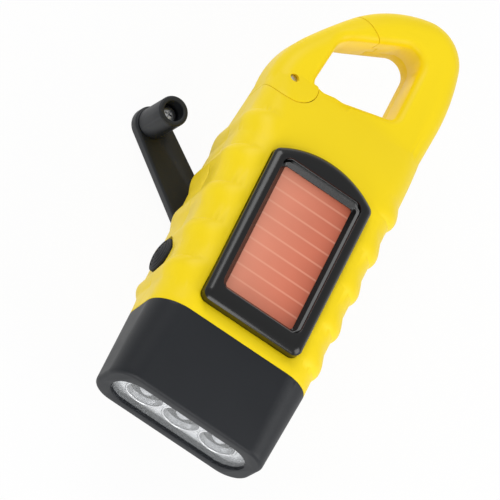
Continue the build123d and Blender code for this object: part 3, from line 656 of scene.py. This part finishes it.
def cross_screw(name, centre, head_radius, head_height, shank_radius, shank_length):
    """A pan-head screw that points down from its head, with a cross recess in the top."""
    # the tip and shank, then the head from its seat to its crown
    rings = [
        (shank_radius * 0.7, -shank_length),
        (shank_radius, -shank_length + shank_radius * 0.4),
        (shank_radius, 0.0),
        (head_radius * 0.97, 0.0),
        (head_radius, head_height * 0.1),
        (head_radius, head_height * 0.45),
        (head_radius * 0.93, head_height * 0.75),
        (head_radius * 0.75, head_height * 0.95),
        (head_radius * 0.4, head_height),
    ]
    piece = turned(name, rings, centre)
    top = (centre[0], centre[1], centre[2] + head_height)
    for tool in cross_tools(top, head_radius * 0.3, head_radius * 1.35, head_height * 0.62):
        cut(piece, tool)
    shade_smooth(piece)
    return piece


# ---------------------------------------------------------------- operators
class FLASHLIGHT_OT_materials(bpy.types.Operator):
    """Makes the materials and paints the frame's nodes"""

    bl_idname = "flashlight.materials"
    bl_label = "Materials"

    def execute(self, context):
        materials.update(make_materials())
        for name, node in frame["nodes"].items():
            node.data.materials.clear()
            node.data.materials.append(materials[node_slot[name]])
        return {"FINISHED"}


class FLASHLIGHT_OT_case(bpy.types.Operator):
    """Softens the edges of the two shells, the gate and its pin"""

    bl_idname = "flashlight.case"
    bl_label = "Case and gate"

    def execute(self, context):
        pin_edge = 0.15 * MM
        softened_copy("front_shell", "case_front", sizes().moulded_edge)
        softened_copy("back_shell", "case_back", sizes().moulded_edge)
        softened_copy("gate", "loop_gate", sizes().moulded_edge)
        softened_copy("gate_pin", "loop_gate_pin", pin_edge)
        return {"FINISHED"}


class FLASHLIGHT_OT_head(bpy.types.Operator):
    """Softens the lamp head"""

    bl_idname = "flashlight.head"
    bl_label = "Lamp head"

    def execute(self, context):
        softened_copy("head_bezel", "lamp_head", sizes().head_edge)
        return {"FINISHED"}


class FLASHLIGHT_OT_lamp(bpy.types.Operator):
    """Brings the lamp unit forward, rings its cups and models the clear window"""

    bl_idname = "flashlight.lamp"
    bl_label = "Lamp"

    def execute(self, context):
        forward = Matrix.Translation((0, -sizes().lamp_forward, 0))
        reflector = softened_copy("reflector", "lamp_reflector", 0.1 * MM)
        emitters = softened_copy("leds", "lamp_emitters", 0.05 * MM)
        board = softened_copy("led_board", "lamp_board", 0.1 * MM)
        for piece in (reflector, emitters, board):
            move_mesh(piece, forward)
        self.lower_margin(reflector)
        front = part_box("reflector")[0].y - sizes().lamp_forward
        self.cup_rings(reflector, front)
        self.window(front)
        return {"FINISHED"}

    def lower_margin(self, reflector):
        """Draws the plate's lower edge in, which leaves a dark gap between it and the head."""
        margin_foot = -5.7 * MM
        kept_share = 0.2
        for vertex in reflector.data.vertices:
            if vertex.co.z < margin_foot:
                vertex.co.z = margin_foot + (vertex.co.z - margin_foot) * kept_share

    def cup_rings(self, reflector, front):
        """The bright raised ring round each cup, joined to the plate."""
        cup_spacing = 11.5 * MM
        ring_wire = 0.34 * MM
        for x in (-cup_spacing, 0.0, cup_spacing):
            bpy.ops.object.select_all(action="DESELECT")
            bpy.ops.mesh.primitive_torus_add(
                location=(x, front, 0),
                rotation=(math.pi / 2, 0, 0),
                major_segments=72,
                minor_segments=12,
                major_radius=sizes().cup_ring,
                minor_radius=ring_wire,
            )
            ring = bpy.context.object
            place_in_mesh(ring)
            bpy.ops.object.shade_smooth()
            ring.data.materials.append(materials["plated"])
            reflector.select_set(True)
            bpy.context.view_layer.objects.active = reflector
            bpy.ops.object.join()

    def window(self, front):
        """The clear plate, drawn from a disc whose two halves are moved apart and raised."""
        end_radius = 6.6 * MM
        half_straight = 13.8 * MM
        thickness = 1.3 * MM
        clearance = 0.02 * MM
        on_middle = 0.01 * MM
        bpy.ops.object.select_all(action="DESELECT")
        bpy.ops.mesh.primitive_circle_add(
            vertices=64,
            radius=end_radius,
            fill_type="NGON",
            location=(0, front - clearance, 0),
            rotation=(math.pi / 2, 0, 0),
        )
        plate = bpy.context.object
        plate.name = "lamp_window"
        place_in_mesh(plate)
        for vertex in plate.data.vertices:
            if abs(vertex.co.x) > on_middle:
                vertex.co.x += math.copysign(half_straight, vertex.co.x)
        bpy.ops.object.mode_set(mode="EDIT")
        bpy.ops.mesh.select_all(action="SELECT")
        bpy.ops.mesh.extrude_region_move(TRANSFORM_OT_translate={"value": (0, -thickness, 0)})
        bpy.ops.mesh.select_all(action="SELECT")
        bpy.ops.mesh.normals_make_consistent(inside=False)
        bpy.ops.object.mode_set(mode="OBJECT")
        soften_edges(plate, 0.12 * MM)
        dress(plate, "clear", "root", "lens")


class FLASHLIGHT_OT_panel(bpy.types.Operator):
    """Finishes the glossy surround and the solar cell"""

    bl_idname = "flashlight.panel"
    bl_label = "Solar panel"

    def execute(self, context):
        self.picture_frame(softened_copy("solar_frame", "panel_surround", 0.18 * MM))
        softened_copy("solar_cell", "panel_cell", 0.08 * MM)
        return {"FINISHED"}

    def picture_frame(self, surround):
        """Gives the surround a wide outer bevel, a narrow ridge and one long slope down to the cell."""
        # the step that the slope starts from: half its width, and its two ends along Y
        side, low, high = 12.3 * MM, 30.6 * MM, 72.3 * MM
        slope_width = 1.7 * MM
        slope_top, slope_foot = 19.6 * MM, 17.5 * MM
        bevel_foot, top = 18.7 * MM, 20.0 * MM
        below_ridge = top - 0.5 * MM
        bevel_more = 0.9 * MM
        # the bevel leans towards a core this far inside the step
        core = 5 * MM
        for vertex in surround.data.vertices:
            place = vertex.co
            inset = min(side - abs(place.x), place.y - low, high - place.y)
            if inset > -0.05 * MM and slope_foot < place.z < below_ridge:
                share = min(max(inset, 0.0) / slope_width, 1.0)
                place.z = slope_top - (slope_top - slope_foot) * share
            elif inset < -0.4 * MM and place.z > bevel_foot:
                nearest = Vector(
                    (
                        max(-side + core, min(side - core, place.x)),
                        max(low + core, min(high - core, place.y)),
                        place.z,
                    )
                )
                share = (place.z - bevel_foot) / (top - bevel_foot)
                vertex.co = place + (nearest - place).normalized() * bevel_more * share
        # a lower limit keeps the long slope crisp against the ridge
        shade_smooth(surround, 20)


class FLASHLIGHT_OT_crank(bpy.types.Operator):
    """Finishes the hub, arm and knob, and models the knob's screw with its cross recess"""

    bl_idname = "flashlight.crank"
    bl_label = "Crank"

    def execute(self, context):
        softened_copy("crank_hub", "crank_disc", 0.15 * MM)
        softened_copy("crank_arm", "crank_lever", 0.15 * MM)
        softened_copy("knob", "crank_grip", 0.12 * MM)
        low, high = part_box("knob_screw")
        middle = (low + high) / 2
        head_height = 1.3 * MM
        shank_radius = 1.25 * MM
        screw = cross_screw(
            "crank_grip_screw",
            (middle.x, middle.y, high.z - head_height),
            (high.x - low.x) / 2,
            head_height,
            shank_radius,
            high.z - head_height - low.z,
        )
        dress(screw, "steel", node_body["knob_screw"], "knob_screw")
        return {"FINISHED"}


class FLASHLIGHT_OT_switch(bpy.types.Operator):
    """Models the rubber push button with ridges on its dome"""

    bl_idname = "flashlight.switch"
    bl_label = "Side switch"

    def execute(self, context):
        low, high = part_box("switch_button")
        middle = (low + high) / 2
        radius = (high.y - low.y) / 2
        rise = 2.6 * MM
        seat = low.x + rise
        stem = radius * 0.61
        crown_drop = 0.42
        # the stem, the cap's underside and its rounded side
        rings = [(stem, seat - high.x), (stem, 0.0), (radius * 0.98, 0.0), (radius, 0.1 * MM)]
        rings += [(radius, rise * 0.46), (radius * 0.985, rise * 0.55), (radius * 0.93, rise * 0.62)]
        # four round ridges on the dome, each between two shallow grooves
        for share in (0.8, 0.6, 0.4, 0.2):
            dome = rise * (1.0 - crown_drop * share * share)
            rings += [
                (radius * (share + 0.06), dome - 0.30 * MM),
                (radius * (share + 0.03), dome - 0.05 * MM),
                (radius * (share - 0.03), dome - 0.02 * MM),
                (radius * (share - 0.06), dome - 0.24 * MM),
            ]
        rings.append((radius * 0.04, rise - 0.25 * MM))
        button = turned("side_button", rings, (0, 0, 0))
        move_mesh(
            button,
            Matrix.Translation((seat, middle.y, middle.z)) @ Matrix.Rotation(math.radians(-90), 4, "Y"),
        )
        # the ridges are soft rubber, so only the stem's corner stays sharp
        shade_smooth(button, 50)
        dress(button, "soft_black", node_body["switch_button"], "switch_button")
        return {"FINISHED"}


class FLASHLIGHT_OT_fasteners(bpy.types.Operator):
    """Models the four case screws with their cross recesses"""

    bl_idname = "flashlight.fasteners"
    bl_label = "Case screws"

    def execute(self, context):
        low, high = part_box("case_screws")
        head_radius = 2.3 * MM
        head_height = 1.5 * MM
        shank_radius = 1.0 * MM
        seat = low.z + head_height
        spots = ((17.0, 30.5), (-17.0, 30.5), (15.5, 86.0), (-15.0, 86.0))
        for i, (x, y) in enumerate(spots):
            screw = cross_screw(
                f"case_screw_{i + 1}", (0, 0, 0), head_radius, head_height, shank_radius, high.z - seat
            )
            move_mesh(
                screw,
                Matrix.Translation((x * MM, y * MM, seat)) @ Matrix.Rotation(math.pi, 4, "X"),
            )
            dress(screw, "steel", "root", "case_screws")
        return {"FINISHED"}


class FLASHLIGHT_OT_stage(bpy.types.Operator):
    """Pale floor, soft lamps, white background and the camera"""

    bl_idname = "flashlight.stage"
    bl_label = "Studio"

    def execute(self, context):
        self.floor(context)
        self.world(context)
        self.lamps(context)
        self.camera(context)
        return {"FINISHED"}

    def floor(self, context):
        """A large pale plane that keeps the object's shadow and is near white to the camera."""
        side = 6.0
        below_object = 0.2 * MM
        middle_y = 60 * MM
        # how much of the floor's colour gives way to white where it is seen or mirrored
        white_share = 0.94
        bpy.ops.object.select_all(action="DESELECT")
        bpy.ops.mesh.primitive_plane_add(size=side, location=(0, middle_y, cad_low.z - below_object))
        plane = context.object
        plane.name = "studio_floor"
        material, tree, place = begin_material("pale_studio_paper")
        paper = add_node(
            tree,
            "ShaderNodeBsdfDiffuse",
            {"Color": shaded(tree, place, colours().floor, depth=0.01, patch=80 * MM), "Roughness": 0.5},
        )
        glow = add_node(tree, "ShaderNodeEmission", {"Color": (1, 1, 1, 1), "Strength": 1.0})
        rays = add_node(tree, "ShaderNodeLightPath")
        seen = add_node(
            tree,
            "ShaderNodeMath",
            {0: rays.outputs["Is Camera Ray"], 1: rays.outputs["Is Glossy Ray"]},
            operation="MAXIMUM",
        )
        seen = add_node(
            tree,
            "ShaderNodeMath",
            {0: seen.outputs[0], 1: rays.outputs["Is Transmission Ray"]},
            operation="MAXIMUM",
        )
        share = add_node(tree, "ShaderNodeMath", {0: seen.outputs[0], 1: white_share}, operation="MULTIPLY")
        mix = add_node(tree, "ShaderNodeMixShader", {0: share.outputs[0]})
        tree.links.new(paper.outputs[0], mix.inputs[1])
        tree.links.new(glow.outputs[0], mix.inputs[2])
        add_node(tree, "ShaderNodeOutputMaterial", {"Surface": mix.outputs[0]})
        plane.data.materials.append(material)

    def world(self, context):
        """White to the camera, half as strong as a light."""
        ambient = 0.5
        world = bpy.data.worlds.new("studio_world")
        context.scene.world = world
        world.use_nodes = True
        tree = world.node_tree
        tree.nodes.clear()
        soft = add_node(tree, "ShaderNodeBackground", {"Color": (1, 1, 1, 1), "Strength": ambient})
        white = add_node(tree, "ShaderNodeBackground", {"Color": (1, 1, 1, 1), "Strength": 1.0})
        rays = add_node(tree, "ShaderNodeLightPath")
        mix = add_node(tree, "ShaderNodeMixShader", {0: rays.outputs["Is Camera Ray"]})
        tree.links.new(soft.outputs[0], mix.inputs[1])
        tree.links.new(white.outputs[0], mix.inputs[2])
        add_node(tree, "ShaderNodeOutputWorld", {"Surface": mix.outputs[0]})

    def lamps(self, context):
        """A large key box from the upper left, a fill from the right and a low one before the lamp."""
        middle = (cad_low + cad_high) / 2
        # name, place from the object's middle, side length and power
        softboxes = (
            ("key_softbox", (-0.4, 0.45, 0.5), 0.5, 2.5),
            ("fill_softbox", (0.55, -0.2, 0.35), 0.45, 1.8),
            ("low_softbox", (-0.02, -0.6, 0.22), 0.35, 1.45),
        )
        for name, offset, size, power in softboxes:
            lamp = bpy.data.lights.new(name, "AREA")
            lamp.energy = power
            lamp.size = size
            stand = bpy.data.objects.new(name, lamp)
            context.scene.collection.objects.link(stand)
            stand.location = middle + Vector(offset)
            stand.rotation_mode = "QUATERNION"
            stand.rotation_quaternion = (-Vector(offset)).to_track_quat("-Z", "Y")

    def camera(self, context):
        """The photograph's view: from the front, above the lamp end, a little from the left."""
        towards = Vector((-0.245, -0.436, 0.866)).normalized()
        right = Vector((0.80, 0.404, 0.43))
        right = (right - towards * right.dot(towards)).normalized()
        up = towards.cross(right)
        # the point of the object at the photograph's middle
        aim = Vector((-9.25, 44.12, 18.64)) * MM
        photo_side = 500
        pixels_per_metre = 3900
        sensor = 36
        distance = sizes().camera_distance
        data = bpy.data.cameras.new("photo_camera")
        data.sensor_width = sensor
        data.lens = sensor * pixels_per_metre * distance / photo_side
        data.clip_start = 0.05
        data.clip_end = 20
        view = bpy.data.objects.new("photo_camera", data)
        context.scene.collection.objects.link(view)
        turn = Matrix((right, up, towards)).transposed().to_4x4()
        view.matrix_world = Matrix.Translation(aim + towards * distance) @ turn
        context.scene.camera = view
        context.scene.view_settings.view_transform = "Standard"


class FLASHLIGHT_PT_panel(bpy.types.Panel):
    """Lists the flashlight's pieces, sizes and colours"""

    bl_idname = "FLASHLIGHT_PT_panel"
    bl_label = "Flashlight"
    bl_space_type = "VIEW_3D"
    bl_region_type = "UI"
    bl_category = "Flashlight"

    def draw(self, context):
        for group in (sizes(), colours()):
            for key in group.__annotations__:
                self.layout.prop(group, key)
        for operator in OPERATORS:
            self.layout.operator(operator.bl_idname)


OPERATORS = (
    FLASHLIGHT_OT_materials,
    FLASHLIGHT_OT_case,
    FLASHLIGHT_OT_head,
    FLASHLIGHT_OT_lamp,
    FLASHLIGHT_OT_panel,
    FLASHLIGHT_OT_crank,
    FLASHLIGHT_OT_switch,
    FLASHLIGHT_OT_fasteners,
    FLASHLIGHT_OT_stage,
)
CLASSES = (FlashlightSizes, FlashlightColours, *OPERATORS, FLASHLIGHT_PT_panel)


def register():
    """Registers the classes and the scene's two groups of settings."""
    for cls in CLASSES:
        bpy.utils.register_class(cls)
    bpy.types.Scene.flashlight_sizes = bpy.props.PointerProperty(type=FlashlightSizes)
    bpy.types.Scene.flashlight_colours = bpy.props.PointerProperty(type=FlashlightColours)


def unregister():
    """Removes them again."""
    del bpy.types.Scene.flashlight_colours
    del bpy.types.Scene.flashlight_sizes
    for cls in reversed(CLASSES):
        bpy.utils.unregister_class(cls)


def main():
    """Makes every piece in order."""
    register()
    bpy.ops.flashlight.materials()
    bpy.ops.flashlight.case()
    bpy.ops.flashlight.head()
    bpy.ops.flashlight.lamp()
    bpy.ops.flashlight.panel()
    bpy.ops.flashlight.crank()
    bpy.ops.flashlight.switch()
    bpy.ops.flashlight.fasteners()
    bpy.ops.flashlight.stage()


if __name__ == "__main__":
    main()
